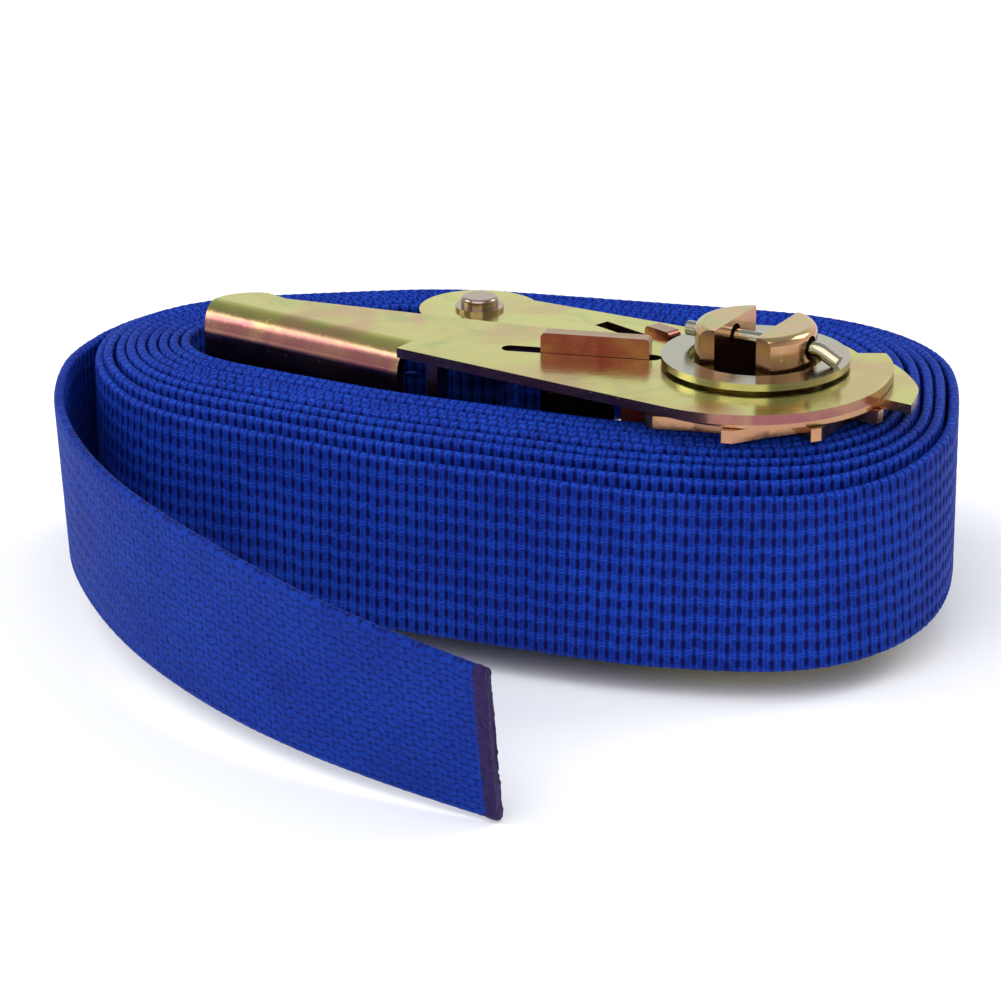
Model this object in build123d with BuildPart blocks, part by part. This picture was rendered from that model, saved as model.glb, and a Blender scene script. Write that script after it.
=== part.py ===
from build123d import *
import os
from math import asin, cos, degrees, radians, sin

os.makedirs("parts", exist_ok=True)

# A 25 mm ratchet strap lying on its side. The spool axis is the Z axis, the floor is z = 0,
# +Y points to the back of the winding and the closed handle points to -X. All in millimetres.

# Webbing
strap_width = 25.0
strap_thickness = 1.4
winding_layers = 9
layer_pitch = 1.45
winding_depth = winding_layers * layer_pitch
winding_sag = 0.3
ring_gap = 0.3

# Stack along the spool axis, counted from the middle plane of the webbing
middle = 21.6
wheel_inside = 12.8
wheel_thickness = 1.8
plate_thickness = 1.4
base_inside = 14.7
base_outside = base_inside + plate_thickness
handle_inside = 16.2
handle_outside = handle_inside + plate_thickness
washer_thickness = 1.0
washer_gap = 0.5

# Spool
spool_radius = 8.4
bore_radius = 8.48
slot_width = 6.3
bar_width = 13.0
slot_angle = 61.0
spool_top = handle_outside + washer_thickness + 5.2
head_radius = 9.9
head_thickness = 2.2
washer_radius = 13.0
upper_washer_hole = 9.3
lower_washer_hole = 8.6
pin_radius = 1.05
pin_hole_radius = 1.7
pin_level = middle + handle_outside + washer_thickness + 2.7

# Ratchet wheels
press_gap = 0.03
tooth_count = 10
tip_radius = 19.5
root_radius = 15.8
tooth_run = 0.8

# Handle plan
grip_heading = 145.4
grip_face = 22.1
grip_bend = 4.0
grip_length = 80.0
web_end = 44.8
handle_back_heading = 160.0
handle_back = 5.5
cam_radius = 15.3
nose_radius = 19.0
cam_step = 15.0

# Base frame plan
base_disc = 18.5
arm_heading = 150.0
arm_back = 14.1
bolt_place = (-38.0, 30.0)
hump_radius = 8.7
bolt_radius = 1.9
sleeve_radius = 4.0
bolt_head_radius = 2.7
bolt_head_height = 1.4
bolt_nut_radius = 4.2
bolt_washer_radius = 3.5
bolt_washer_thickness = 0.5
hook_reach = 24.0
handle_swing = 157.0
stop_gap = 0.15

# Pawls: each is a plate that slides along a radius of the spool
pawl_thickness = 2.2
pawl_slot_width = 2.5
crest_gap = 0.3
drive_angle = 168.0
drive_ear = (14.6, 29.9)
drive_ear_height = 2.9
drive_travel = 4.2
lock_angle = 132.0
lock_ear = (15.8, 20.8)
lock_ear_height = 2.4
lock_travel = 4.8
lock_body_end = 25.5
stem_hole_radius = 1.5
drive_bridge = 44.0
lock_bridge = 36.0
bridge_thickness = 1.5
spring_radius = 2.2
spring_wire = 0.35
spring_pitch = 2.2


def polar(radius, angle):
    return (radius * cos(radians(angle)), radius * sin(radians(angle)))


def level(height):
    """A horizontal plane at a height counted from the middle plane of the webbing."""
    return Plane.XY.offset(middle + height)


def radial_plane(angle):
    """An upright plane through the spool axis: x runs outwards, y runs up."""
    return Plane(
        origin=(0, 0, middle),
        x_dir=(*polar(1, angle), 0),
        z_dir=(*polar(1, angle - 90), 0),
    )


def across_plane(radius, angle):
    """An upright plane that faces outwards at a distance from the spool axis."""
    return Plane(origin=(*polar(radius, angle), middle), z_dir=(*polar(1, angle), 0))


def save(piece, name):
    piece.label = name
    export_step(piece, f"parts/{name}.step")


# Spool bars: two half-round bars with a flat each, a head at the lower end and a cross hole
def spool_bar(side):
    turned = slot_angle + side * 90
    bar_plane = Plane(origin=(0, 0, 0), x_dir=(*polar(1, turned), 0), z_dir=(0, 0, 1))
    with BuildPart() as bar:
        with BuildSketch(bar_plane):
            Circle(spool_radius)
            Rectangle(spool_radius * 2, bar_width, mode=Mode.INTERSECT)
            with Locations((slot_width / 2 - spool_radius, 0)):
                Rectangle(spool_radius * 2, spool_radius * 2, mode=Mode.SUBTRACT)
        extrude(amount=middle + spool_top)
        with BuildSketch(bar_plane):
            Circle(head_radius)
            Rectangle(head_radius * 2, bar_width, mode=Mode.INTERSECT)
            with Locations((slot_width / 2 - head_radius, 0)):
                Rectangle(head_radius * 2, head_radius * 2, mode=Mode.SUBTRACT)
        extrude(amount=head_thickness)
        top_round = bar.faces().sort_by(Axis.Z)[-1].edges().filter_by(GeomType.CIRCLE)
        fillet(top_round, radius=1.2)
        with BuildSketch(Plane(origin=(0, 0, pin_level), z_dir=(*polar(1, turned), 0))):
            Circle(pin_hole_radius)
        extrude(amount=spool_radius * 2, mode=Mode.SUBTRACT)
    return bar.part


save(spool_bar(1), "spool_bar_left")
save(spool_bar(-1), "spool_bar_right")


# Ratchet wheels: saw teeth with a steep face and a long back, one at each side of the webbing
def ratchet_wheel(height):
    pitch = 360 / tooth_count
    corners = []
    for tooth in range(tooth_count):
        start = tooth * pitch
        corners.append(polar(root_radius, start))
        corners.append(polar(tip_radius, start + 1.5))
        corners.append(polar(tip_radius, start + 6.0))
        corners.append(polar(root_radius + tooth_run, start + pitch * 0.6))
    with BuildPart() as wheel:
        with BuildSketch(level(height)):
            with BuildLine():
                Polyline(*corners, close=True)
            make_face()
            Circle(spool_radius + press_gap, mode=Mode.SUBTRACT)
        extrude(amount=wheel_thickness)
    return wheel.part


save(ratchet_wheel(wheel_inside), "ratchet_wheel_upper")
save(ratchet_wheel(-wheel_inside - wheel_thickness), "ratchet_wheel_lower")


# Spool washers: flat rings outside the handle plates
def washer(place, height, outer, hole, thickness):
    with BuildPart() as ring:
        with BuildSketch(Plane(origin=(*place, middle + height))):
            Circle(outer)
            Circle(hole, mode=Mode.SUBTRACT)
        extrude(amount=thickness)
    return ring.part


upper_washer = handle_outside + washer_gap
lower_washer = -handle_outside - washer_gap - washer_thickness
spool_washers = (
    ("spool_washer_upper", upper_washer, upper_washer_hole),
    ("spool_washer_lower", lower_washer, lower_washer_hole),
)
for name, height, hole in spool_washers:
    save(washer((0, 0), height, washer_radius, hole, washer_thickness), name)

# Split pin: goes through both bars and the slot, with one end bent down against the bar
pin_angle = slot_angle - 90
with BuildPart() as split_pin:
    pin_run = (*polar(1, pin_angle), 0)
    with BuildLine():
        pin_start = (*polar(-10.4, pin_angle), pin_level)
        pin_turn = (*polar(9.6, pin_angle), pin_level)
        pin_end = (*polar(12.4, pin_angle), pin_level - 1.5)
        FilletPolyline(pin_start, pin_turn, pin_end, radius=2.4)
    with BuildSketch(Plane(origin=pin_start, z_dir=pin_run)):
        Circle(pin_radius)
    sweep()
save(split_pin.part, "split_pin")

# Handle: a sheet steel channel with a folded front, cut away between the grip and the spool
grip_axis = polar(1, grip_heading)
front_axis = polar(1, grip_heading + 90)


def grip_point(along, out):
    return (
        grip_axis[0] * along + front_axis[0] * out,
        grip_axis[1] * along + front_axis[1] * out,
    )


back_run = polar(1, handle_back_heading)
back_normal = polar(1, handle_back_heading - 90)


def back_point(along):
    return (
        back_run[0] * along + back_normal[0] * handle_back,
        back_run[1] * along + back_normal[1] * handle_back,
    )


grip_plane = Plane(origin=(0, 0, middle), x_dir=(*front_axis, 0), z_dir=(*grip_axis, 0))
back_start = (cam_radius**2 - handle_back**2) ** 0.5
back_end = 72.0
grip_round = 5.0
grip_corner = grip_point(grip_length - grip_round, grip_face - grip_round * 2)
grip_swell = grip_point(grip_length - grip_round / 8, grip_face - grip_round)
grip_tip = grip_point(grip_length - grip_round / 4, grip_face)
front_start = grip_point(0, grip_face)
front_end = polar(nose_radius, cam_step - 35)
cam_tip = polar(nose_radius, cam_step)
cam_foot = polar(cam_radius, cam_step + 4)
slot_reach = (drive_ear[0] - 1.5, drive_ear[1] + drive_travel + 1.5)
slot_middle = sum(slot_reach) / 2
wall = plate_thickness
with BuildPart() as handle:
    with BuildSketch(level(-handle_outside)):
        with BuildLine():
            Line(back_point(back_start), back_point(back_end))
            Line(back_point(back_end), grip_corner)
            ThreePointArc(grip_corner, grip_swell, grip_tip)
            Line(grip_tip, front_start)
            ThreePointArc(front_start, polar(20.6, 290), front_end)
            ThreePointArc(front_end, polar(nose_radius, cam_step - 17), cam_tip)
            Line(cam_tip, cam_foot)
            ThreePointArc(cam_foot, polar(cam_radius, 75), back_point(back_start))
        make_face()
        Circle(bore_radius, mode=Mode.SUBTRACT)
        slot_place = Location((*polar(slot_middle, drive_angle), 0), (0, 0, drive_angle))
        with Locations(slot_place):
            SlotOverall(slot_reach[1] - slot_reach[0], pawl_slot_width, mode=Mode.SUBTRACT)
    extrude(amount=handle_outside * 2)
    # outer round of the two long bends of the grip
    for side in (-1, 1):
        with BuildSketch(grip_plane.offset(web_end)):
            with Locations((grip_face, side * handle_outside)):
                Rectangle(grip_bend * 2, grip_bend * 2)
            with Locations((grip_face - grip_bend, side * (handle_outside - grip_bend))):
                Circle(grip_bend, mode=Mode.SUBTRACT)
                behind = (Align.MAX, Align.CENTER)
                Rectangle(grip_bend * 4, grip_bend * 2, align=behind, mode=Mode.SUBTRACT)
            with Locations((grip_face - grip_bend, 0)):
                Rectangle(grip_bend * 4, (handle_outside - grip_bend) * 2, mode=Mode.SUBTRACT)
        extrude(amount=grip_length, mode=Mode.SUBTRACT)
    # hollow between the plates
    with BuildSketch(grip_plane.offset(-grip_length)):
        with BuildLine():
            inner = grip_face - wall
            bend_foot = grip_face - grip_bend
            bend_height = handle_outside - grip_bend
            Line((-grip_length, handle_inside), (bend_foot, handle_inside))
            RadiusArc((bend_foot, handle_inside), (inner, bend_height), grip_bend - wall)
            Line((inner, bend_height), (inner, -bend_height))
            RadiusArc((inner, -bend_height), (bend_foot, -handle_inside), grip_bend - wall)
            Line((bend_foot, -handle_inside), (-grip_length, -handle_inside))
            Line((-grip_length, -handle_inside), (-grip_length, handle_inside))
        make_face()
    extrude(amount=grip_length * 3, mode=Mode.SUBTRACT)
    # the front is open from the grip to the spool
    with BuildSketch(grip_plane.offset(-grip_length)):
        with Locations((grip_face, 0)):
            Rectangle(grip_bend * 2, handle_inside * 2)
    extrude(amount=grip_length + web_end, mode=Mode.SUBTRACT)
save(handle.part, "handle")


# Bridges: small cross plates that back the pawl springs, with a hole for the pawl's stem
def bridge(angle, start, half_height, width):
    with BuildPart() as plate:
        with BuildSketch(radial_plane(angle)):
            with Locations((start + bridge_thickness / 2, 0)):
                Rectangle(bridge_thickness, half_height * 2)
        extrude(amount=width / 2, both=True)
        with BuildSketch(across_plane(start, angle)):
            Circle(stem_hole_radius)
        extrude(amount=bridge_thickness, mode=Mode.SUBTRACT)
    return plate.part


save(bridge(drive_angle, drive_bridge, handle_inside, 7.0), "handle_bridge")
save(bridge(lock_angle, lock_bridge, base_inside, 5.0), "frame_bridge")


# Pawls: a plate across the wheels, two ears through the slots and a round stem for the spring
def pawl(angle, ear, body, ear_foot, ear_top, stem_end):
    with BuildPart() as plate:
        with BuildSketch(radial_plane(angle)):
            with Locations(((body[0] + body[1]) / 2, 0)):
                Rectangle(body[1] - body[0], ear_foot * 2)
            for side in (-1, 1):
                with Locations(((ear[0] + ear[1]) / 2, side * (ear_foot + ear_top) / 2)):
                    RectangleRounded(ear[1] - ear[0], ear_top - ear_foot, 0.7)
                with Locations(((max(ear[0], body[0]) + ear[1]) / 2, side * ear_foot)):
                    Rectangle(ear[1] - max(ear[0], body[0]) - 1.4, 1.4)
        extrude(amount=pawl_thickness / 2, both=True)
        with BuildSketch(across_plane(body[1] - 1, angle)):
            Circle(pawl_thickness / 2)
        extrude(amount=stem_end - body[1] + 1)
    return plate.part


tooth_crest = tip_radius + crest_gap
drive_body = (tooth_crest, drive_ear[1])
lock_body = (tooth_crest, lock_body_end)
drive_top = handle_outside + drive_ear_height
lock_top = base_outside + lock_ear_height
save(pawl(drive_angle, drive_ear, drive_body, handle_inside, drive_top, 46.5), "drive_pawl")
save(pawl(lock_angle, lock_ear, lock_body, base_inside, lock_top, 38.5), "lock_pawl")


# Pawl springs: coils round the stems, between the pawl and its bridge
def spring(angle, start, end):
    length = end - start
    with BuildPart() as coil:
        foot = (*polar(start, angle), middle)
        run = (*polar(1, angle), 0)
        with BuildLine():
            turns = Helix(spring_pitch, length, spring_radius, center=foot, direction=run)
        with BuildSketch(Plane(origin=turns @ 0, z_dir=turns % 0)):
            Circle(spring_wire)
        sweep(is_frenet=True)
    return coil.part


save(spring(drive_angle, drive_ear[1] + 0.6, drive_bridge - 0.6), "drive_pawl_spring")
save(spring(lock_angle, lock_body_end + 0.6, lock_bridge - 0.6), "lock_pawl_spring")

# Base frame: two plates with a hump round the fixed bolt and a hook that stops the open handle
arm_plane_x = polar(1, arm_heading)
arm_normal = polar(1, arm_heading - 90)
bolt_along = bolt_place[0] * arm_plane_x[0] + bolt_place[1] * arm_plane_x[1]
bolt_out = bolt_place[0] * arm_normal[0] + bolt_place[1] * arm_normal[1]
arm_front = bolt_out - hump_radius
arm_meets_disc = (base_disc**2 - arm_front**2) ** 0.5


def arm_point(along, out):
    return (
        arm_plane_x[0] * along + arm_normal[0] * out,
        arm_plane_x[1] * along + arm_normal[1] * out,
    )


stop_offset = pawl_thickness / 2 + stop_gap


def stop_point(radius):
    """A point on the hook's face, which the drive pawl meets when the handle is wide open."""
    return polar(radius, drive_angle + handle_swing + degrees(asin(stop_offset / radius)))


hook_points = [polar(19.0, 23), polar(20.8, 3), polar(22.6, -14), stop_point(hook_reach)]
lock_slot = (lock_ear[0] - 0.4, lock_body_end + lock_travel + 0.6)


def base_plate(height):
    with BuildPart() as plate:
        with BuildSketch(level(height)):
            with BuildLine():
                Line(arm_point(bolt_along, arm_back), arm_point(0, arm_back))
                Spline(arm_point(0, arm_back), *hook_points, tangents=(polar(1, -30), polar(1, -105)))
                Line(hook_points[-1], stop_point(base_disc))
                disc_end = arm_point(arm_meets_disc, arm_front)
                ThreePointArc(stop_point(base_disc), polar(base_disc, -118), disc_end)
                Line(arm_point(arm_meets_disc, arm_front), arm_point(bolt_along, arm_front))
                Line(arm_point(bolt_along, arm_front), arm_point(bolt_along, arm_back))
            make_face()
            with Locations(bolt_place):
                Circle(hump_radius)
                Circle(bolt_radius + press_gap, mode=Mode.SUBTRACT)
            Circle(bore_radius, mode=Mode.SUBTRACT)
            slot_centre = (*polar(sum(lock_slot) / 2, lock_angle), 0)
            with Locations(Location(slot_centre, (0, 0, lock_angle))):
                Rectangle(lock_slot[1] - lock_slot[0], pawl_slot_width, mode=Mode.SUBTRACT)
        extrude(amount=plate_thickness)
    return plate.part


save(base_plate(base_inside), "base_plate_upper")
save(base_plate(-base_outside), "base_plate_lower")

# Fixed bolt: a riveted pin with a washer under each head and a sleeve that the strap end goes round
bolt_washer_low = -base_outside - bolt_washer_thickness
upper_head = base_outside + bolt_washer_thickness
with BuildPart() as fixed_bolt:
    with BuildSketch(Plane(origin=(*bolt_place, 0))):
        Circle(bolt_nut_radius)
    extrude(amount=middle + bolt_washer_low)
    with BuildSketch(Plane(origin=(*bolt_place, 0))):
        Circle(bolt_radius)
    extrude(amount=middle + upper_head)
    with BuildSketch(Plane(origin=(*bolt_place, middle + upper_head))):
        Circle(bolt_head_radius)
    extrude(amount=bolt_head_height)
    head_rims = fixed_bolt.edges().filter_by(GeomType.CIRCLE)
    fillet([head_rims.sort_by(Axis.Z)[-1], head_rims.sort_by(Axis.Z)[0]], radius=0.5)
save(fixed_bolt.part, "fixed_bolt")
bolt_washers = (
    ("bolt_washer_upper", base_outside, bolt_washer_radius),
    ("bolt_washer_lower", bolt_washer_low, bolt_nut_radius + 0.8),
)
for name, height, outer in bolt_washers:
    save(washer(bolt_place, height, outer, bolt_radius, bolt_washer_thickness), name)
with BuildPart() as bolt_sleeve:
    with BuildSketch(Plane(origin=(*bolt_place, middle - base_inside))):
        Circle(sleeve_radius)
        Circle(bolt_radius, mode=Mode.SUBTRACT)
    extrude(amount=base_inside * 2)
save(bolt_sleeve.part, "bolt_sleeve")

# Sewn end: the inner end of the webbing goes round the sleeve and is stitched to itself
loop_heading = 168.0
loop_seam = 20.0
loop_gap = 0.1
loop_inner = sleeve_radius + loop_gap
loop_outer = loop_inner + strap_thickness
loop_plane = Plane(
    origin=(*bolt_place, middle - strap_width / 2),
    x_dir=(*polar(1, loop_heading), 0),
    z_dir=(0, 0, 1),
)
with BuildPart() as sewn_loop:
    with BuildSketch(loop_plane):
        Circle(loop_outer)
        with Locations((loop_inner, 0)):
            Rectangle(loop_seam + loop_outer, strap_thickness * 2, align=(Align.MIN, Align.CENTER))
        Circle(loop_inner, mode=Mode.SUBTRACT)
    extrude(amount=strap_width)
save(sewn_loop.part, "sewn_loop")

# Stitching: rows of thread that stand just proud of both faces of the seam
stitch_rows = 3
stitch_count = 5
stitch_length = 2.4
thread_width = 0.8
stitch_proud = 0.3
with BuildPart() as loop_stitching:
    for face_side in (-1, 1):
        seam_face = Plane(
            origin=loop_plane.from_local_coords((loop_outer + 2, face_side * strap_thickness, 0)),
            x_dir=loop_plane.x_dir,
            z_dir=loop_plane.y_dir * face_side,
        )
        with BuildSketch(seam_face):
            with Locations((loop_seam / 2 - 2, -strap_width / 2 * face_side)):
                spacing = loop_seam / (stitch_count + 1)
                with GridLocations(spacing, strap_width / 4, stitch_count, stitch_rows):
                    Rectangle(stitch_length, thread_width)
        extrude(amount=stitch_proud)
save(loop_stitching.part, "loop_stitching")

# Winding: the webbing is wound tight round these posts, each a place and a radius in plan
winding_posts = (
    (-70.0, 28.0, 10.5),
    (-45.0, 26.0, 16.0),
    (-3.0, 16.0, 15.7),
    (0.0, 0.5, 11.2),
    (-14.0, 2.0, 10.6),
    (-45.0, 12.0, 8.6),
)


def winding_ring(inner_depth, outer_depth):
    low = Plane.XY.offset(middle - strap_width / 2 - winding_sag)
    with BuildPart() as ring:
        with BuildSketch(low):
            for x, y, radius in winding_posts:
                with Locations((x, y)):
                    Circle(radius + outer_depth)
            make_hull()
        extrude(amount=strap_width)
        with BuildSketch(low):
            for x, y, radius in winding_posts:
                with Locations((x, y)):
                    Circle(radius + inner_depth)
            make_hull()
        extrude(amount=strap_width, mode=Mode.SUBTRACT)
    return ring.part


half_depth = winding_depth / 2
save(winding_ring(0, half_depth - ring_gap), "winding_inner")
save(winding_ring(half_depth, winding_depth), "winding_outer")

# Tail: the free end leaves the winding at the left, leans outwards and comes down to the floor.
# Each stop is the place and height of the lower edge, the heading of the run and the lean.
tail_stops = (
    (-91.7, 40.5, 6.9, 240.0, 0.0),
    (-96.2, 27.0, 6.6, 269.0, 2.0),
    (-96.2, 16.5, 6.4, 274.0, 3.0),
    (-95.1, 6.5, 6.1, 281.0, 4.0),
    (-90.3, -8.5, 5.5, 291.0, 5.0),
    (-83.2, -23.2, 4.8, 300.0, 5.0),
    (-72.8, -37.6, 3.9, 311.0, 5.0),
    (-63.2, -47.2, 3.1, 319.0, 8.0),
    (-53.9, -54.2, 2.2, 325.0, 12.0),
    (-43.0, -61.0, 1.2, 330.0, 15.0),
    (-34.7, -65.2, 0.35, 334.0, 17.5),
)
seal_length = 0.8


def tail_section(stop):
    x, y, low, heading, lean = stop
    out_x, out_y = polar(sin(radians(lean)), heading - 90)
    width_run = (out_x, out_y, cos(radians(lean)))
    return Plane(origin=(x, y, low), x_dir=width_run, z_dir=(*polar(1, heading), 0))


with BuildPart() as tail:
    for stop in tail_stops:
        with BuildSketch(tail_section(stop)):
            Rectangle(strap_width, strap_thickness, align=(Align.MIN, Align.CENTER))
    loft()
save(tail.part, "tail")
with BuildPart() as tail_seal:
    with BuildSketch(tail_section(tail_stops[-1])):
        Rectangle(strap_width, strap_thickness, align=(Align.MIN, Align.CENTER))
    extrude(amount=seal_length)
save(tail_seal.part, "tail_seal")
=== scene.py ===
import bpy
import math
from mathutils import Matrix, Vector, noise


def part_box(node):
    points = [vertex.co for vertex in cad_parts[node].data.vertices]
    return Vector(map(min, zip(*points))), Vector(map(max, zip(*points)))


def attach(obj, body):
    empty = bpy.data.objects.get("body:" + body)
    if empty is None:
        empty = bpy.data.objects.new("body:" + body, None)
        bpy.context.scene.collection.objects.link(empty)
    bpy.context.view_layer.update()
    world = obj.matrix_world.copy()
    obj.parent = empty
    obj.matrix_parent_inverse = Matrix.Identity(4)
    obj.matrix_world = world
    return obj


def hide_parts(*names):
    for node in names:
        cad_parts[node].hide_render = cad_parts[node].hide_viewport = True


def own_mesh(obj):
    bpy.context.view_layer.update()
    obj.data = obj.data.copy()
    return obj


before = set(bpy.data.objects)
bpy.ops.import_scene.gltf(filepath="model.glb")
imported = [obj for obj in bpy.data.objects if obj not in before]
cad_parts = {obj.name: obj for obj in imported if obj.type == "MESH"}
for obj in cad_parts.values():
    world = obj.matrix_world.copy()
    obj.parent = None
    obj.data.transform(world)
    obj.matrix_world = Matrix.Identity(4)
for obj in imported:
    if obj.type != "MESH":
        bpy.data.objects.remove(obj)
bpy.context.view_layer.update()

# Camera.
# The strap is seen from the front and a little above, from far off, so that the bundle looks flat.
look_up = math.radians(20.3)
camera_distance = 0.6
view_middle = Vector((-0.035, -0.006, 0.0215))
camera_data = bpy.data.cameras.new("camera")
camera_data.lens = 157
camera_data.sensor_width = 36
camera = bpy.data.objects.new("camera", camera_data)
bpy.context.scene.collection.objects.link(camera)
camera.location = view_middle + camera_distance * Vector((0, -math.cos(look_up), math.sin(look_up)))
camera.rotation_euler = (math.pi / 2 - look_up, 0, 0)
bpy.context.scene.camera = camera

# Studio.
# A pale table, a bright room and three soft lights: one large over the front, one at each side.
floor_reach = 12.0
bpy.ops.mesh.primitive_plane_add(size=floor_reach * 2, location=(0, 0, -0.0001))
floor = bpy.context.object
floor.name = "studio_floor"
paint = bpy.data.materials.new("studio_floor")
paint.use_nodes = True
paint_shader = paint.node_tree.nodes["Principled BSDF"]
paint_shader.inputs["Base Color"].default_value = (0.93, 0.93, 0.94, 1)
paint_shader.inputs["Roughness"].default_value = 0.9
floor.data.materials.append(paint)

room = bpy.data.worlds.new("studio_room")
room.use_nodes = True
room_nodes, room_link = room.node_tree.nodes, room.node_tree.links.new
room_split = room_nodes.new("ShaderNodeSeparateXYZ")
room_link(room_nodes.new("ShaderNodeTexCoord").outputs["Generated"], room_split.inputs[0])
room_shade = room_nodes.new("ShaderNodeValToRGB")
room_link(room_split.outputs["Z"], room_shade.inputs["Fac"])
horizon, ceiling = room_shade.color_ramp.elements
horizon.position, horizon.color = 0.30, (1, 1, 1, 1)
ceiling.position, ceiling.color = 0.75, (0.42, 0.44, 0.48, 1)
wall = room_shade.color_ramp.elements.new(0.45)
wall.color = (0.80, 0.82, 0.86, 1)
room_link(room_shade.outputs["Color"], room_nodes["Background"].inputs["Color"])
# the room is darker on the side that the work is seen from
room_depth = room_nodes.new("ShaderNodeMapRange")
room_link(room_split.outputs["Y"], room_depth.inputs["Value"])
for socket, value in (("From Min", -0.9), ("From Max", -0.1), ("To Min", 0.55), ("To Max", 1.0)):
    room_depth.inputs[socket].default_value = value
room_link(room_depth.outputs["Result"], room_nodes["Background"].inputs["Strength"])
bpy.context.scene.world = room
bpy.context.scene.view_settings.view_transform = "Standard"

for name, place, size, watts in (
    ("light_front", (-0.25, -0.75, 0.85), 1.3, 12),
    ("light_left", (-0.9, 0.1, 0.6), 0.5, 4),
    ("light_right", (0.8, 0.35, 0.7), 0.5, 4),
):
    light_data = bpy.data.lights.new(name, "AREA")
    light_data.size = size
    light_data.energy = watts
    light = bpy.data.objects.new(name, light_data)
    light.location = place
    light.rotation_euler = (view_middle - Vector(place)).to_track_quat("-Z", "Y").to_euler()
    bpy.context.scene.collection.objects.link(light)

# Webbing.
# One length of 25 mm woven polyester strap. Its path follows the winding, layer on layer, and
# every stretch of it is the same weave, made by one geometry tree along that stretch's path.
strap_width = 0.025
strap_thickness = 0.00128
layer_pitch = 0.00145
layer_count = 9
strap_middle = 0.0216
rib_pitch = 0.00146
row_pitch = 0.0025
steps_per_rib = 4
rib_stagger = 0.06
row_wander = 0.25
wander_scale = 260.0
knot_height = 0.95
knot_dip = 0.25
slack_rate = 28.0
slack_flatness = 0.4
upper_round = (0.785, 1.571, 2.356)
lower_round = (3.927, 4.712, 5.498)
winding_posts = (
    (-0.070, 0.028, 0.0105),
    (-0.045, 0.026, 0.0160),
    (-0.003, 0.016, 0.0157),
    (0.000, 0.0005, 0.0112),
    (-0.014, 0.002, 0.0106),
    (-0.045, 0.012, 0.0086),
)


def winding_point(angle, depth):
    """Where the winding's outline faces a heading, at a depth outside the posts."""
    out = (math.cos(angle), math.sin(angle))
    x, y, radius = max(winding_posts, key=lambda post: post[0] * out[0] + post[1] * out[1] + post[2])
    return (x + out[0] * (radius + depth), y + out[1] * (radius + depth))


def strap_profile(name, spacing, rim):
    """A closed cross-section of the strap: flat faces with points a spacing apart, round edges."""
    half = strap_width / 2 - strap_thickness / 2
    thick = strap_thickness / 2
    inside = max(2, round((2 * half - 2 * rim) / spacing))
    across = [-half + rim + (2 * half - 2 * rim) * i / inside for i in range(inside + 1)]
    rims = [-half + rim * i / 4 for i in range(4)]
    across = rims + across + [-y for y in reversed(rims)]
    points = [(thick, y) for y in across]
    points += [(thick * math.cos(a), half + thick * math.sin(a)) for a in upper_round]
    points += [(-thick, y) for y in reversed(across)]
    points += [(thick * math.cos(a), -half + thick * math.sin(a)) for a in lower_round]
    curve = bpy.data.curves.new(name, "CURVE")
    curve.dimensions = "3D"
    spline = curve.splines.new("POLY")
    spline.points.add(len(points) - 1)
    for point, (x, y) in zip(spline.points, points):
        point.co = (x, y, 0, 1)
    spline.use_cyclic_u = True
    outline = bpy.data.objects.new(name, curve)
    bpy.context.scene.collection.objects.link(outline)
    return outline


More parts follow.
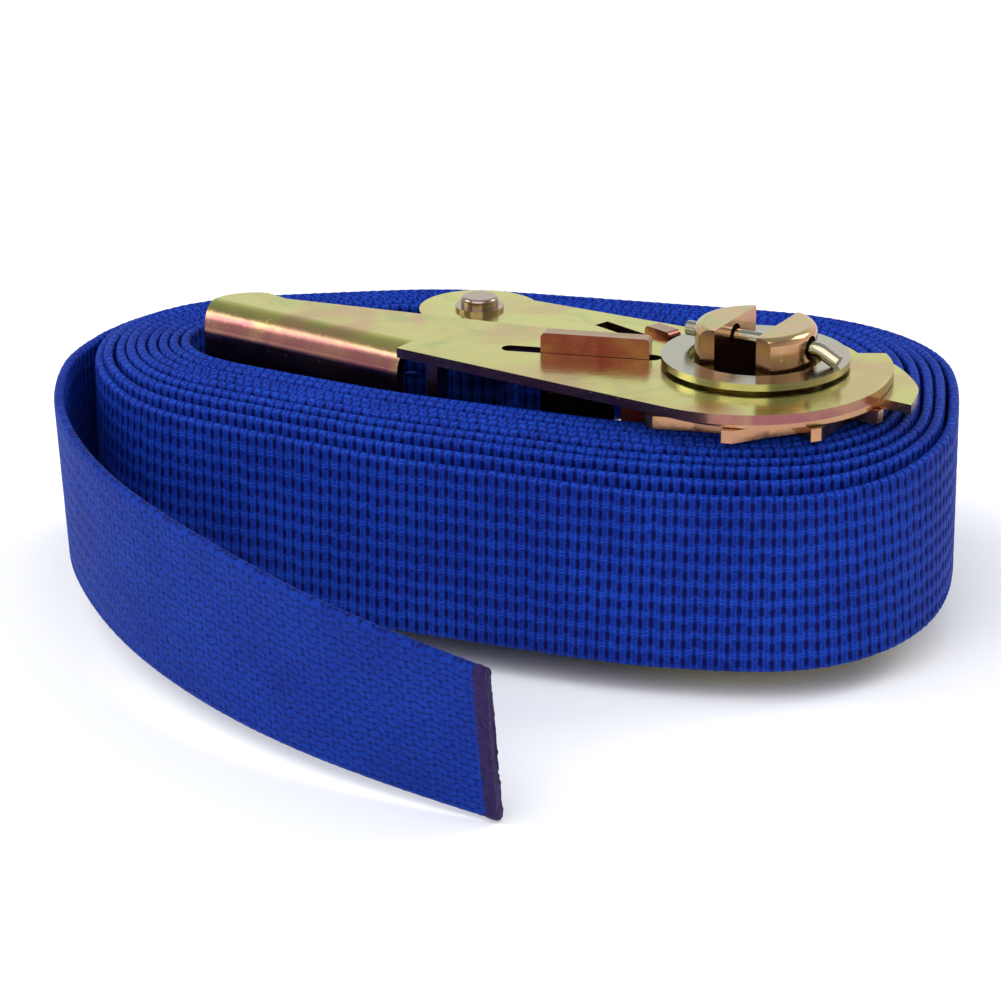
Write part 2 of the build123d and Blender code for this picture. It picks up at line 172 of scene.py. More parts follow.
def weave_tree():
    """The strap's geometry tree: a profile along a path, with ribs, holes and beaded edges."""
    tree = bpy.data.node_groups.new("woven_strap", "GeometryNodeTree")
    sockets = (
        ("Path", "NodeSocketGeometry"),
        ("Profile", "NodeSocketObject"),
        ("Step", "NodeSocketFloat"),
        ("Rib Pitch", "NodeSocketFloat"),
        ("Row Pitch", "NodeSocketFloat"),
        ("Relief", "NodeSocketFloat"),
        ("Start", "NodeSocketFloat"),
        ("Slack From", "NodeSocketFloat"),
        ("Material", "NodeSocketMaterial"),
    )
    for label, kind in sockets:
        tree.interface.new_socket(label, in_out="INPUT", socket_type=kind)
    tree.interface.new_socket("Strap", in_out="OUTPUT", socket_type="NodeSocketGeometry")
    nodes, link = tree.nodes, tree.links.new
    given = nodes.new("NodeGroupInput")
    made = nodes.new("NodeGroupOutput")

    def node(kind, **settings):
        new = nodes.new(kind)
        for setting, value in settings.items():
            setattr(new, setting, value)
        return new

    def maths(operation, *values):
        new = node("ShaderNodeMath", operation=operation)
        for slot, value in zip(new.inputs, values):
            if isinstance(value, (int, float)):
                slot.default_value = value
            else:
                link(value, slot)
        return new.outputs[0]

    def wave(value):
        """1 where value is whole, 0 half-way between."""
        return maths("MULTIPLY_ADD", maths("COSINE", maths("MULTIPLY", value, math.tau)), 0.5, 0.5)

    normals = node("GeometryNodeSetCurveNormal", mode="Z_UP")
    link(given.outputs["Path"], normals.inputs["Curve"])
    spaced = node("GeometryNodeResampleCurve", mode="LENGTH")
    link(normals.outputs["Curve"], spaced.inputs["Curve"])
    link(given.outputs["Step"], spaced.inputs["Length"])
    along = node("GeometryNodeCaptureAttribute")
    along.capture_items.new("FLOAT", "Along")
    link(spaced.outputs["Curve"], along.inputs["Geometry"])
    link(node("GeometryNodeSplineParameter").outputs["Length"], along.inputs["Along"])
    outline = node("GeometryNodeObjectInfo")
    link(given.outputs["Profile"], outline.inputs["Object"])
    across = node("GeometryNodeCaptureAttribute")
    across.capture_items.new("VECTOR", "Across")
    link(outline.outputs["Geometry"], across.inputs["Geometry"])
    link(node("GeometryNodeInputPosition").outputs["Position"], across.inputs["Across"])
    swept = node("GeometryNodeCurveToMesh")
    swept.inputs["Fill Caps"].default_value = True
    link(along.outputs["Geometry"], swept.inputs["Curve"])
    link(across.outputs["Geometry"], swept.inputs["Profile Curve"])
    split = node("ShaderNodeSeparateXYZ")
    link(across.outputs["Across"], split.inputs[0])
    length = maths("ADD", along.outputs["Along"], given.outputs["Start"])
    rib_turn = maths("DIVIDE", length, given.outputs["Rib Pitch"])
    stagger = maths("MULTIPLY", maths("SINE", maths("MULTIPLY", rib_turn, math.pi)), rib_stagger)
    unevenness = node("ShaderNodeTexNoise")
    unevenness.inputs["Scale"].default_value = wander_scale
    uneven = maths("MULTIPLY_ADD", unevenness.outputs["Fac"], 2 * row_wander, -row_wander)
    row_turn = maths("DIVIDE", split.outputs["Y"], given.outputs["Row Pitch"])
    row_turn = maths("ADD", maths("ADD", row_turn, stagger), uneven)
    rib = wave(rib_turn)
    knot = wave(row_turn)
    open_rib = maths("MULTIPLY", rib, maths("SUBTRACT", 1.0, knot))
    tied_rib = maths("MULTIPLY", knot, maths("MULTIPLY_ADD", rib, -knot_dip, knot_height))
    height = maths("ADD", open_rib, tied_rib)
    past = maths("MULTIPLY", maths("SUBTRACT", length, given.outputs["Slack From"]), slack_rate)
    slack = maths("MINIMUM", maths("MAXIMUM", past, 0.0), 1.0)
    flattened = maths("MULTIPLY_ADD", slack, -slack_flatness, 1.0)
    relief_here = maths("MULTIPLY", given.outputs["Relief"], flattened)
    raised = maths("MULTIPLY", maths("SUBTRACT", height, 0.5), relief_here)
    push = node("ShaderNodeVectorMath", operation="SCALE")
    link(node("GeometryNodeInputNormal").outputs["Normal"], push.inputs[0])
    link(raised, push.inputs["Scale"])
    relief = node("GeometryNodeSetPosition")
    link(swept.outputs["Mesh"], relief.inputs["Geometry"])
    link(push.outputs["Vector"], relief.inputs["Offset"])
    weave_map = node("ShaderNodeCombineXYZ")
    link(rib_turn, weave_map.inputs["X"])
    link(row_turn, weave_map.inputs["Y"])
    stored = node("GeometryNodeStoreNamedAttribute", data_type="FLOAT2", domain="CORNER")
    stored.inputs["Name"].default_value = "weave"
    link(relief.outputs["Geometry"], stored.inputs["Geometry"])
    link(weave_map.outputs["Vector"], stored.inputs["Value"])
    slackened = node("GeometryNodeStoreNamedAttribute", data_type="FLOAT", domain="POINT")
    slackened.inputs["Name"].default_value = "slack"
    link(stored.outputs["Geometry"], slackened.inputs["Geometry"])
    link(slack, slackened.inputs["Value"])
    smooth = node("GeometryNodeSetShadeSmooth")
    link(slackened.outputs["Geometry"], smooth.inputs["Geometry"])
    finish = node("GeometryNodeSetMaterial")
    link(smooth.outputs["Geometry"], finish.inputs["Geometry"])
    link(given.outputs["Material"], finish.inputs["Material"])
    real = node("GeometryNodeRealizeInstances")
    link(finish.outputs["Geometry"], real.inputs["Geometry"])
    link(real.outputs["Geometry"], made.inputs["Strap"])
    return tree


def shader_group(name, given, made):
    """An empty shader node group with named sockets, and the two nodes at its ends."""
    group = bpy.data.node_groups.new(name, "ShaderNodeTree")
    for label, kind in given:
        group.interface.new_socket(label, in_out="INPUT", socket_type=kind)
    for label, kind in made:
        group.interface.new_socket(label, in_out="OUTPUT", socket_type=kind)
    return group, group.nodes.new("NodeGroupInput"), group.nodes.new("NodeGroupOutput")


def set_up(tree, kind, values=(), **settings):
    """A node in tree with its settings, and its input sockets set or linked by name or number."""
    new = tree.nodes.new(kind)
    for setting, value in settings.items():
        setattr(new, setting, value)
    for socket, value in dict(values).items():
        if isinstance(value, bpy.types.NodeSocket):
            tree.links.new(value, new.inputs[socket])
        else:
            new.inputs[socket].default_value = value
    return new


def blend_colour(tree, amount, first, second):
    """The mix of two colours in tree."""
    new = set_up(tree, "ShaderNodeMix", {0: amount, 6: first, 7: second}, data_type="RGBA")
    return new.outputs[2]


# the weave's colour and fine relief: strands along the strap with painted highlights on the yarn crowns,
# and painted shade in the holes between ribs and rows
FLOAT, COLOUR, VECTOR = "NodeSocketFloat", "NodeSocketColor", "NodeSocketVector"
weave_look, look_in, look_out = shader_group(
    "weave_look",
    (
        ("Weave", VECTOR),
        ("Place", VECTOR),
        ("Slack", FLOAT),
        ("Thread", COLOUR),
        ("Bright", COLOUR),
        ("Hole Shade", COLOUR),
        ("Slack Thread", COLOUR),
        ("Slack Bright", COLOUR),
        ("Slack Hole Shade", COLOUR),
    ),
    (("Color", COLOUR), ("Height", FLOAT), ("Roughness", FLOAT)),
)


def look_maths(operation, *values):
    return set_up(weave_look, "ShaderNodeMath", dict(enumerate(values)), operation=operation).outputs[0]


def look_wave(value):
    """1 where value is whole, 0 half-way between."""
    turned = look_maths("COSINE", look_maths("MULTIPLY", value, math.tau))
    return look_maths("MULTIPLY_ADD", turned, 0.5, 0.5)


def look_step(value, low, high):
    values = {0: value, 1: low, 2: high}
    return set_up(weave_look, "ShaderNodeMapRange", values, interpolation_type="SMOOTHSTEP").outputs[0]


def look_blend(amount, first, second):
    return set_up(weave_look, "ShaderNodeMix", {0: amount, 2: first, 3: second}).outputs[0]


def look_noise(scale, detail):
    values = {"Vector": look_in.outputs["Place"], "Scale": scale, "Detail": detail}
    return set_up(weave_look, "ShaderNodeTexNoise", values).outputs["Fac"]


tie_threads = 6.0
brick_rows = 2.4
brick_pitch = 0.72
fibre_scale = 2600.0
patch_scale = 90.0
weave_parts = set_up(weave_look, "ShaderNodeSeparateXYZ", {0: look_in.outputs["Weave"]})
rib_turn, row_turn = weave_parts.outputs["X"], weave_parts.outputs["Y"]
knot = look_wave(row_turn)
not_rib = look_maths("SUBTRACT", 1.0, look_wave(rib_turn))
# painted shade: the holes between ribs and rows are darkened where the weave opens
hole_shade = look_maths("MULTIPLY", look_step(not_rib, 0.10, 1.0), look_step(knot, 0.98, 0.20))
# painted shade in the grooves between ribs
seam = look_maths("MULTIPLY", look_step(not_rib, 0.72, 1.0), 0.4)
pair = look_wave(look_maths("MULTIPLY_ADD", rib_turn, 2.0, 0.5))
tie_pair = look_wave(look_maths("MULTIPLY_ADD", row_turn, tie_threads, 0.5))
tie = look_maths("MULTIPLY", tie_pair, look_step(knot, 0.6, 0.95))
tie = look_maths("MULTIPLY", tie, look_step(not_rib, 0.95, 0.3))

# the slack strap shows its lengthwise floats instead, laid like bricks, with fainter painted shade in
# the gaps and a dimmer painted highlight, as the same weave looks lit from the front
brick_row = look_maths("MULTIPLY", row_turn, brick_rows)
brick_shift = look_maths("MULTIPLY", look_maths("FLOOR", brick_row), 0.5)
brick_end = look_wave(look_maths("MULTIPLY_ADD", rib_turn, brick_pitch, brick_shift))
brick_side = look_wave(brick_row)
# painted shade in the gaps between the brick-laid floats, deepest at their corners
float_gap_shade = look_maths("MAXIMUM", look_step(brick_side, 0.72, 1.0), look_step(brick_end, 0.86, 1.0))
corner = look_maths("MULTIPLY", look_step(brick_side, 0.35, 0.9), look_step(brick_end, 0.55, 0.95))
fibre = look_noise(fibre_scale, 3.0)
patch = look_noise(patch_scale, 2.0)
slack = look_in.outputs["Slack"]
taut_dark = look_maths("MAXIMUM", hole_shade, seam)
slack_dark = look_maths("MULTIPLY_ADD", float_gap_shade, 0.30, look_maths("MULTIPLY", corner, 0.5))
dark = look_blend(slack, taut_dark, slack_dark)
# painted highlight: the yarn crowns, two threads per rib and the tie dashes at the knots, are painted
# lighter, with random tone from the fibre and patch noise
taut_yarn = look_maths("MAXIMUM", look_maths("MULTIPLY_ADD", pair, 0.42, 0.20), tie)
yarn = look_blend(slack, taut_yarn, 0.5)
lit = look_maths("ADD", yarn, look_maths("MULTIPLY_ADD", fibre, 1.1, -0.62))
lit = look_maths("ADD", lit, look_maths("MULTIPLY_ADD", patch, 0.5, -0.25))
lit = look_step(lit, -0.15, 1.15)
yarn_tones = [
    blend_colour(weave_look, slack, look_in.outputs[tone], look_in.outputs["Slack " + tone])
    for tone in ("Thread", "Bright", "Hole Shade")
]
thread = blend_colour(weave_look, lit, yarn_tones[0], yarn_tones[1])
thread = blend_colour(weave_look, dark, thread, yarn_tones[2])
weave_look.links.new(thread, look_out.inputs["Color"])
height = look_maths("MULTIPLY_ADD", yarn, 0.4, look_maths("MULTIPLY", fibre, 0.25))
height = look_maths("MULTIPLY_ADD", dark, -0.6, height)
weave_look.links.new(height, look_out.inputs["Height"])
weave_look.links.new(look_maths("MULTIPLY_ADD", fibre, 0.25, 0.5), look_out.inputs["Roughness"])


def woven_material(name, tight_tones, slack_tones):
    """The webbing's material: thread, painted highlight and painted shade tones where it is tight and
    where it is slack.
    """
    tone_names = ("Thread", "Bright", "Hole Shade")
    material = bpy.data.materials.new(name)
    material.use_nodes = True
    tree = material.node_tree
    shader = tree.nodes["Principled BSDF"]
    look = set_up(
        tree,
        "ShaderNodeGroup",
        {
            "Weave": set_up(tree, "ShaderNodeUVMap", uv_map="weave").outputs["UV"],
            "Place": set_up(tree, "ShaderNodeTexCoord").outputs["Object"],
            "Slack": set_up(tree, "ShaderNodeAttribute", attribute_name="slack").outputs["Fac"],
            **{tone: (*rgb, 1) for tone, rgb in zip(tone_names, tight_tones)},
            **{"Slack " + tone: (*rgb, 1) for tone, rgb in zip(tone_names, slack_tones)},
        },
        node_tree=weave_look,
    )
    bump = set_up(
        tree,
        "ShaderNodeBump",
        {"Height": look.outputs["Height"], "Strength": 0.7, "Distance": 0.00025},
    )
    tree.links.new(look.outputs["Color"], shader.inputs["Base Color"])
    tree.links.new(look.outputs["Roughness"], shader.inputs["Roughness"])
    tree.links.new(bump.outputs["Normal"], shader.inputs["Normal"])
    shader.inputs["Specular IOR Level"].default_value = 0.08
    shader.inputs["Sheen Weight"].default_value = 0.015
    shader.inputs["Sheen Roughness"].default_value = 0.4
    shader.inputs["Sheen Tint"].default_value = (0.25, 0.4, 1.0, 1)
    return material


# tones of thread, painted highlight and painted shade in the holes, first for the taut turns and then
# for the slack tail
webbing_cloth = woven_material(
    "webbing",
    ((0.0005, 0.009, 0.155), (0.008, 0.056, 0.44), (0.0, 0.0012, 0.06)),
    ((0.0004, 0.009, 0.150), (0.004, 0.046, 0.36), (0.0, 0.0015, 0.055)),
)

weave = weave_tree()
profile_coarse = strap_profile("strap_profile_coarse", 0.0030, 0.0024)
profile_fine = strap_profile("strap_profile_fine", 0.00057, 0.0022)


def by_tree(name, start, tree, values):
    """What a geometry tree makes out of start with its inputs set, as a plain mesh object."""
    maker = bpy.data.objects.new(name + "_maker", start)
    bpy.context.scene.collection.objects.link(maker)
    modifier = maker.modifiers.new("maker", "NODES")
    modifier.node_group = tree
    for item in tree.interface.items_tree:
        if item.in_out == "INPUT" and item.name in values:
            modifier[item.identifier] = values[item.name]
    bpy.context.view_layer.update()
    ready = maker.evaluated_get(bpy.context.evaluated_depsgraph_get())
    mesh = bpy.data.meshes.new_from_object(ready)
    mesh.name = name
    piece = bpy.data.objects.new(name, mesh)
    bpy.context.scene.collection.objects.link(piece)
    bpy.data.objects.remove(maker)
    return piece


# a length that no stretch of the strap reaches
never = 10.0
rib_relief = 0.00032


def strap(
    name, stops, start, profile, cloth=webbing_cloth, relief=rib_relief, slack_from=never, curved=False
):
    """A stretch of the strap along stops (x, y, z, lean), as a plain mesh with the weave on it."""
    curve = bpy.data.curves.new(name + "_path", "CURVE")
    curve.dimensions = "3D"
    spline = curve.splines.new("NURBS" if curved else "POLY")
    spline.points.add(len(stops) - 1)
    spline.order_u = 4
    spline.use_endpoint_u = True
    spline.resolution_u = 12
    for point, (x, y, z, lean) in zip(spline.points, stops):
        point.co = (x, y, z, 1)
        point.tilt = lean
    values = {
        "Profile": profile,
        "Step": rib_pitch / steps_per_rib,
        "Rib Pitch": rib_pitch,
        "Row Pitch": row_pitch,
        "Relief": relief,
        "Start": start,
        "Slack From": slack_from,
        "Material": cloth,
    }
    return by_tree(name, curve, weave, values)


# Winding: the turns.
# The strap is wound counter-clockwise from the sewn end outwards. The outer turns are looser and
# hang lower at the front, because there they lie outside the ratchet wheels.
wind_start = math.radians(118)
wind_step = math.radians(2)
looseness = ((270, 0.20), (0, 0.19), (58, 0.14))
front_droop = 0.0060
first_depth = 0.0007
ripple_depth = 0.00018
edge_unevenness = 0.0003
buckle_sink = 0.0002
falloff = 1.5
sag_growth = 3.5
back_sag = 0.35
ripple_rate, ripple_row = 3.1, 2.7
edge_rate, edge_row = 2.3, 7.1


def loose_winding(last_turn):
    """Points (x, y, z, turn) of the strap's middle from the sewn end out to last_turn."""
    points = []
    for i in range(round(last_turn * math.tau / wind_step) + 1):
        turn = i * wind_step / math.tau
        angle = wind_start + turn * math.tau
        frontness = max(0, -math.sin(angle)) ** falloff
        loose = 1
        for heading, more in looseness:
            loose += more * max(0, math.cos(angle - math.radians(heading))) ** falloff
        ripple = noise.noise(Vector((turn * ripple_rate, ripple_row, 0))) * ripple_depth * min(turn, 2)
        x, y = winding_point(angle, first_depth + turn * layer_pitch * loose + ripple)
        sag = front_droop * (turn / layer_count) ** sag_growth * (back_sag + (1 - back_sag) * frontness)
        rise = edge_unevenness * noise.noise(Vector((turn * edge_rate, edge_row, 0)))
        points.append(Vector((x, y, strap_middle - buckle_sink - sag + rise, turn)))
    return points


def eased(points, spacing=0.002, passes=14):
    """The same run with its points a spacing apart and its sharp turnings rounded off."""
    even = [points[0]]
    for point in points[1:]:
        while (point.xyz - even[-1].xyz).length > spacing:
            even.append(even[-1].lerp(point, spacing / (point.xyz - even[-1].xyz).length))
    for _ in range(passes):
        middles = [(a + b * 2 + c) / 4 for a, b, c in zip(even, even[1:], even[2:])]
        even = [even[0], *middles, even[-1]]
    return even


def run_length(stops):
    """The length of the run along its stops."""
    return sum((Vector(a[:3]) - Vector(b[:3])).length for a, b in zip(stops, stops[1:]))


def finish_strap(piece, length, held, rests_on, *nodes):
    """Sets a stretch of strap on the frame, hides the CAD pieces it stands in for and gives it a mesh of
    its own.
    """
    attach(piece, "frame")
    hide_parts(*nodes)
    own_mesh(piece)


peel_turn = 1 / 8
winding = eased(loose_winding(layer_count + peel_turn))


def winding_stops(first_turn, last_turn):
    """The winding's stops from one turn to another, with the first and last ones shared."""
    chosen = [point for point in winding if first_turn <= point.w <= last_turn]
    after = [point for point in winding if point.w > last_turn][:1]
    return [(*point.xyz, 0) for point in chosen + after]


wound_length = 0
for name, first_turn, last_turn, profile, nodes in (
    ("webbing_inner_turns", 0, 3, profile_coarse, ("winding_inner",)),
    ("webbing_middle_turns", 3, 6, profile_coarse, ("winding_inner", "winding_outer")),
    ("webbing_outer_turns", 6, 8, profile_coarse, ("winding_outer",)),
    ("webbing_last_turn", 8, 9, profile_fine, ("winding_outer",)),
):
    stops = winding_stops(first_turn, last_turn)
    length = run_length(stops)
    turns = strap(name, stops, wound_length, profile)
    finish_strap(turns, length, "stretched", ["fixed_bolt", "handle"], *nodes)
    wound_length += length

# Tail.
# The loose end peels off the winding at the left, leans outwards and comes down to the table.
# Each stop is the place and height of the lower edge, the heading of the run and the lean.
tail_stops = (
    (-0.0962, 0.0270, 0.0066, 269, 2),
    (-0.0962, 0.0165, 0.0064, 274, 3),
    (-0.0951, 0.0065, 0.0061, 281, 4),
    (-0.0903, -0.0085, 0.0055, 291, 5),
    (-0.0832, -0.0232, 0.0048, 300, 5),
    (-0.0728, -0.0376, 0.0039, 311, 5),
    (-0.0632, -0.0472, 0.0031, 319, 8),
    (-0.0539, -0.0542, 0.0022, 325, 12),
    (-0.0430, -0.0610, 0.0012, 330, 15),
    (-0.0347, -0.0652, 0.00035, 334, 17.5),
)
slack_start = 0.02


def tail_middle(stop):
    """The strap's middle (x, y, z, lean) at a stop of its lower edge."""
    x, y, low, heading, lean = stop
    side = math.radians(heading - 90)
    reach = strap_width / 2 * math.sin(math.radians(lean))
    rise = strap_width / 2 * math.cos(math.radians(lean))
    return (x + reach * math.cos(side), y + reach * math.sin(side), low + rise, math.radians(lean))


tail_line = winding_stops(layer_count, layer_count + 1) + [tail_middle(stop) for stop in tail_stops]
tail_length = run_length(tail_line)
slack_from = wound_length + slack_start
tail = strap("webbing_tail", tail_line, wound_length, profile_fine, slack_from=slack_from, curved=True)
finish_strap(tail, tail_length, "laid", ["webbing_last_turn"], "tail")

# Cut end.
# The tail was cut with a hot knife: its yarns are melted into a dark, uneven bead.
seal_width = 0.0016
seal_swell = 0.00012
seal_grain = 1400
seal_relief = 0.0001
tip_before, tip = (Vector(stop[:3]) for stop in tail_line[-2:])
tip_run = (tip - tip_before).normalized()
tip_lean = tail_line[-1][3]
seal_line = [(*(tip + tip_run * seal_width * share), tip_lean) for share in (-0.7, -0.2, 0.3)]
melted = bpy.data.materials.new("melted_end")
melted.use_nodes = True
melted_tree = melted.node_tree
melted_shader = melted_tree.nodes["Principled BSDF"]
melted_place = set_up(melted_tree, "ShaderNodeTexCoord").outputs["Object"]
melted_noise = set_up(
    melted_tree, "ShaderNodeTexNoise", {"Vector": melted_place, "Scale": 900.0, "Detail": 4.0}
).outputs["Fac"]
melted_tint = blend_colour(
    melted_tree, melted_noise, (0.002, 0.0015, 0.028, 1), (0.028, 0.006, 0.085, 1)
)
melted_bump = set_up(melted_tree, "ShaderNodeBump", {"Height": melted_noise, "Distance": 0.0004})
melted_tree.links.new(melted_tint, melted_shader.inputs["Base Color"])
melted_tree.links.new(melted_bump.outputs["Normal"], melted_shader.inputs["Normal"])
melted_shader.inputs["Roughness"].default_value = 0.55
melted_shader.inputs["Specular IOR Level"].default_value = 0.15
seal = strap("tail_cut_end", seal_line, 0, profile_fine, cloth=melted, relief=seal_relief)
for vertex in seal.data.vertices:
    rough = noise.noise(vertex.co * seal_grain) * seal_swell
    vertex.co += vertex.normal * (seal_swell + rough) + tip_run * rough
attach(seal, "frame")
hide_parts("tail_seal")
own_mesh(seal)

# Sewn end.
# The inner end goes round the sleeve of the fixed bolt and back, and is stitched to itself.
bolt_low, bolt_high = (Vector(corner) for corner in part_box("bolt_sleeve"))
bolt_middle = (bolt_low + bolt_high) / 2
loop_run = math.radians(168)
loop_radius = 0.0049
seam_reach = 0.0245
seam_gap = 0.00071
seam_stops = 6
seam_step = 0.0035
loop_start, loop_sweep, loop_steps = -50, 260, 12
joined_turn = 1 / 40


def loop_point(along, out):
    """A stop of the sewn end, along the seam from the bolt and out to one side of it."""
    x = bolt_middle.x + along * math.cos(loop_run) + out * math.sin(loop_run)
    y = bolt_middle.y + along * math.sin(loop_run) - out * math.cos(loop_run)
    return (x, y, strap_middle, 0)


sewn_line = [loop_point(seam_reach - seam_step * i, -seam_gap) for i in range(seam_stops)]
for i in range(loop_steps + 1):
    angle = math.radians(loop_start - loop_sweep * i / loop_steps)
    sewn_line.append(loop_point(loop_radius * math.cos(angle), loop_radius * math.sin(angle)))
sewn_line += [loop_point(seam_reach - seam_step * i, seam_gap) for i in reversed(range(seam_stops))]
sewn_line += winding_stops(0, joined_turn)
sewn_end = strap("webbing_sewn_end", sewn_line, 0, profile_coarse, curved=True)
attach(sewn_end, "frame")
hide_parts("sewn_loop")

# Stitching.
# Rows of bonded polyester thread hold the doubled seam. Each stitch is a bead of thread lying
# along the strap on the seam's outer faces.
stitch_length = 0.0021
stitch_radius = 0.00032
stitch_pitch = 0.0028
stitch_columns, stitch_rows = 6, 6
stitch_margin = 0.0025


def stitch_tree():
    """The seam's geometry tree: a grid of stitches on each side of the doubled strap."""
    tree = bpy.data.node_groups.new("seam_stitches", "GeometryNodeTree")
    for label, kind in (
        ("Columns", "NodeSocketInt"),
        ("Rows", "NodeSocketInt"),
        ("Pitch", "NodeSocketFloat"),
        ("Row Pitch", "NodeSocketFloat"),
        ("Length", "NodeSocketFloat"),
        ("Radius", "NodeSocketFloat"),
        ("Half Seam", "NodeSocketFloat"),
        ("Material", "NodeSocketMaterial"),
    ):
        tree.interface.new_socket(label, in_out="INPUT", socket_type=kind)
    tree.interface.new_socket("Stitches", in_out="OUTPUT", socket_type="NodeSocketGeometry")
    link = tree.links.new
    given, made = tree.nodes.new("NodeGroupInput"), tree.nodes.new("NodeGroupOutput")

    def maths(operation, *values):
        return set_up(tree, "ShaderNodeMath", dict(enumerate(values)), operation=operation).outputs[0]

    columns, rows = given.outputs["Columns"], given.outputs["Rows"]
    grid = set_up(
        tree,
        "GeometryNodeMeshGrid",
        {
            "Size X": maths("MULTIPLY", maths("SUBTRACT", columns, 1.0), given.outputs["Pitch"]),
            "Size Y": maths("MULTIPLY", maths("SUBTRACT", rows, 1.0), given.outputs["Row Pitch"]),
            "Vertices X": columns,
            "Vertices Y": rows,
        },
    )
    bead = set_up(tree, "GeometryNodeMeshUVSphere", {"Segments": 12, "Rings": 8, "Radius": 0.5})
    thick = maths("MULTIPLY", given.outputs["Radius"], 2.0)
    scale = set_up(tree, "ShaderNodeCombineXYZ", {0: given.outputs["Length"], 1: thick, 2: thick})
    drawn_out = {"Geometry": bead.outputs["Mesh"], "Scale": scale.outputs[0]}
    bedded = set_up(tree, "GeometryNodeTransform", drawn_out)
    both = tree.nodes.new("GeometryNodeJoinGeometry")
    for side in (-1, 1):
        reach = maths("MULTIPLY", given.outputs["Half Seam"], side)
        out = set_up(tree, "ShaderNodeCombineXYZ", {2: reach})
        laid = {"Geometry": grid.outputs["Mesh"], "Translation": out.outputs[0]}
        face = set_up(tree, "GeometryNodeTransform", laid)
        sewn = set_up(
            tree,
            "GeometryNodeInstanceOnPoints",
            {"Points": face.outputs["Geometry"], "Instance": bedded.outputs["Geometry"]},
        )
        link(sewn.outputs["Instances"], both.inputs["Geometry"])
    real = set_up(tree, "GeometryNodeRealizeInstances", {"Geometry": both.outputs["Geometry"]})
    smooth = set_up(tree, "GeometryNodeSetShadeSmooth", {"Geometry": real.outputs["Geometry"]})
    finish = set_up(
        tree,
        "GeometryNodeSetMaterial",
        {"Geometry": smooth.outputs["Geometry"], "Material": given.outputs["Material"]},
    )
    link(finish.outputs["Geometry"], made.inputs["Stitches"])
    return tree


sewing_thread = bpy.data.materials.new("sewing_thread")
sewing_thread.use_nodes = True
thread_tree = sewing_thread.node_tree
thread_shader = thread_tree.nodes["Principled BSDF"]
thread_place = set_up(thread_tree, "ShaderNodeTexCoord").outputs["Object"]
twist = set_up(
    thread_tree, "ShaderNodeTexWave", {"Vector": thread_place, "Scale": 900.0, "Distortion": 1.5}
).outputs["Fac"]
thread_tint = blend_colour(thread_tree, twist, (0.002, 0.012, 0.16, 1), (0.012, 0.06, 0.42, 1))
thread_bump = set_up(thread_tree, "ShaderNodeBump", {"Height": twist, "Distance": 0.0002})
thread_tree.links.new(thread_tint, thread_shader.inputs["Base Color"])
thread_tree.links.new(thread_bump.outputs["Normal"], thread_shader.inputs["Normal"])
thread_shader.inputs["Roughness"].default_value = 0.5
stitches = by_tree(
    "seam_stitches",
    bpy.data.meshes.new("seam_stitches"),
    stitch_tree(),
    {
        "Columns": stitch_columns,
        "Rows": stitch_rows,
        "Pitch": stitch_pitch,
        "Row Pitch": (strap_width - 2 * stitch_margin) / (stitch_rows - 1),
        "Length": stitch_length,
        "Radius": stitch_radius,
        "Half Seam": seam_gap + strap_thickness / 2,
        "Material": sewing_thread,
    },
)
seam_middle = Vector(loop_point(seam_reach - seam_step * seam_stops / 2, 0)[:3])
stand = Matrix.Rotation(loop_run, 4, "Z") @ Matrix.Rotation(math.pi / 2, 4, "X")
stitches.data.transform(Matrix.Translation(seam_middle) @ stand)
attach(stitches, "frame")
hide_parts("loop_stitching")

for outline in (profile_coarse, profile_fine):
    bpy.data.objects.remove(outline)

# Plated steel.
# The buckle's stampings are zinc plated and yellow chromated: olive gold where the sheet is flat,
# pink and green in the clouds of the bath, and coppery on bends and cut edges, which are also painted
# darker as painted shade.
plating_look, bath_in, bath_out = shader_group(
    "plating_look",
    (
        ("Place", VECTOR),
        ("Facing", VECTOR),
        ("Flat", COLOUR),
        ("Warm", COLOUR),
        ("Cool", COLOUR),
        ("Side", COLOUR),
    ),
    (("Color", COLOUR), ("Roughness", FLOAT), ("Height", FLOAT)),
)


def bath_maths(operation, *values, clamp=False):
    made = set_up(plating_look, "ShaderNodeMath", dict(enumerate(values)), operation=operation)
    made.use_clamp = clamp
    return made.outputs[0]


def bath_noise(scale, detail, distortion=0.0, place=bath_in.outputs["Place"]):
    values = {"Vector": place, "Scale": scale, "Detail": detail, "Distortion": distortion}
    return set_up(plating_look, "ShaderNodeTexNoise", values).outputs["Fac"]


def bath_step(value, low, high):
    values = {0: value, 1: low, 2: high}
    return set_up(plating_look, "ShaderNodeMapRange", values, interpolation_type="SMOOTHSTEP").outputs[0]


cloud_scale, second_cloud_scale = 62.0, 95.0
scratch_scale, scratch_stretch = 170.0, 14.0
peel_scale = 420.0
worn_tint = (0.75, 0.73, 0.52, 1)
cloud = bath_noise(cloud_scale, 2.0, 0.8)
elsewhere = {"Vector": bath_in.outputs["Place"], "Location": (0.3, 0.7, 0.2)}
moved = set_up(plating_look, "ShaderNodeMapping", elsewhere)
second_cloud = bath_noise(second_cloud_scale, 3.0, 1.2, moved.outputs["Vector"])
facing = set_up(plating_look, "ShaderNodeSeparateXYZ", {0: bath_in.outputs["Facing"]})
upright = bath_maths("ABSOLUTE", facing.outputs["Z"])
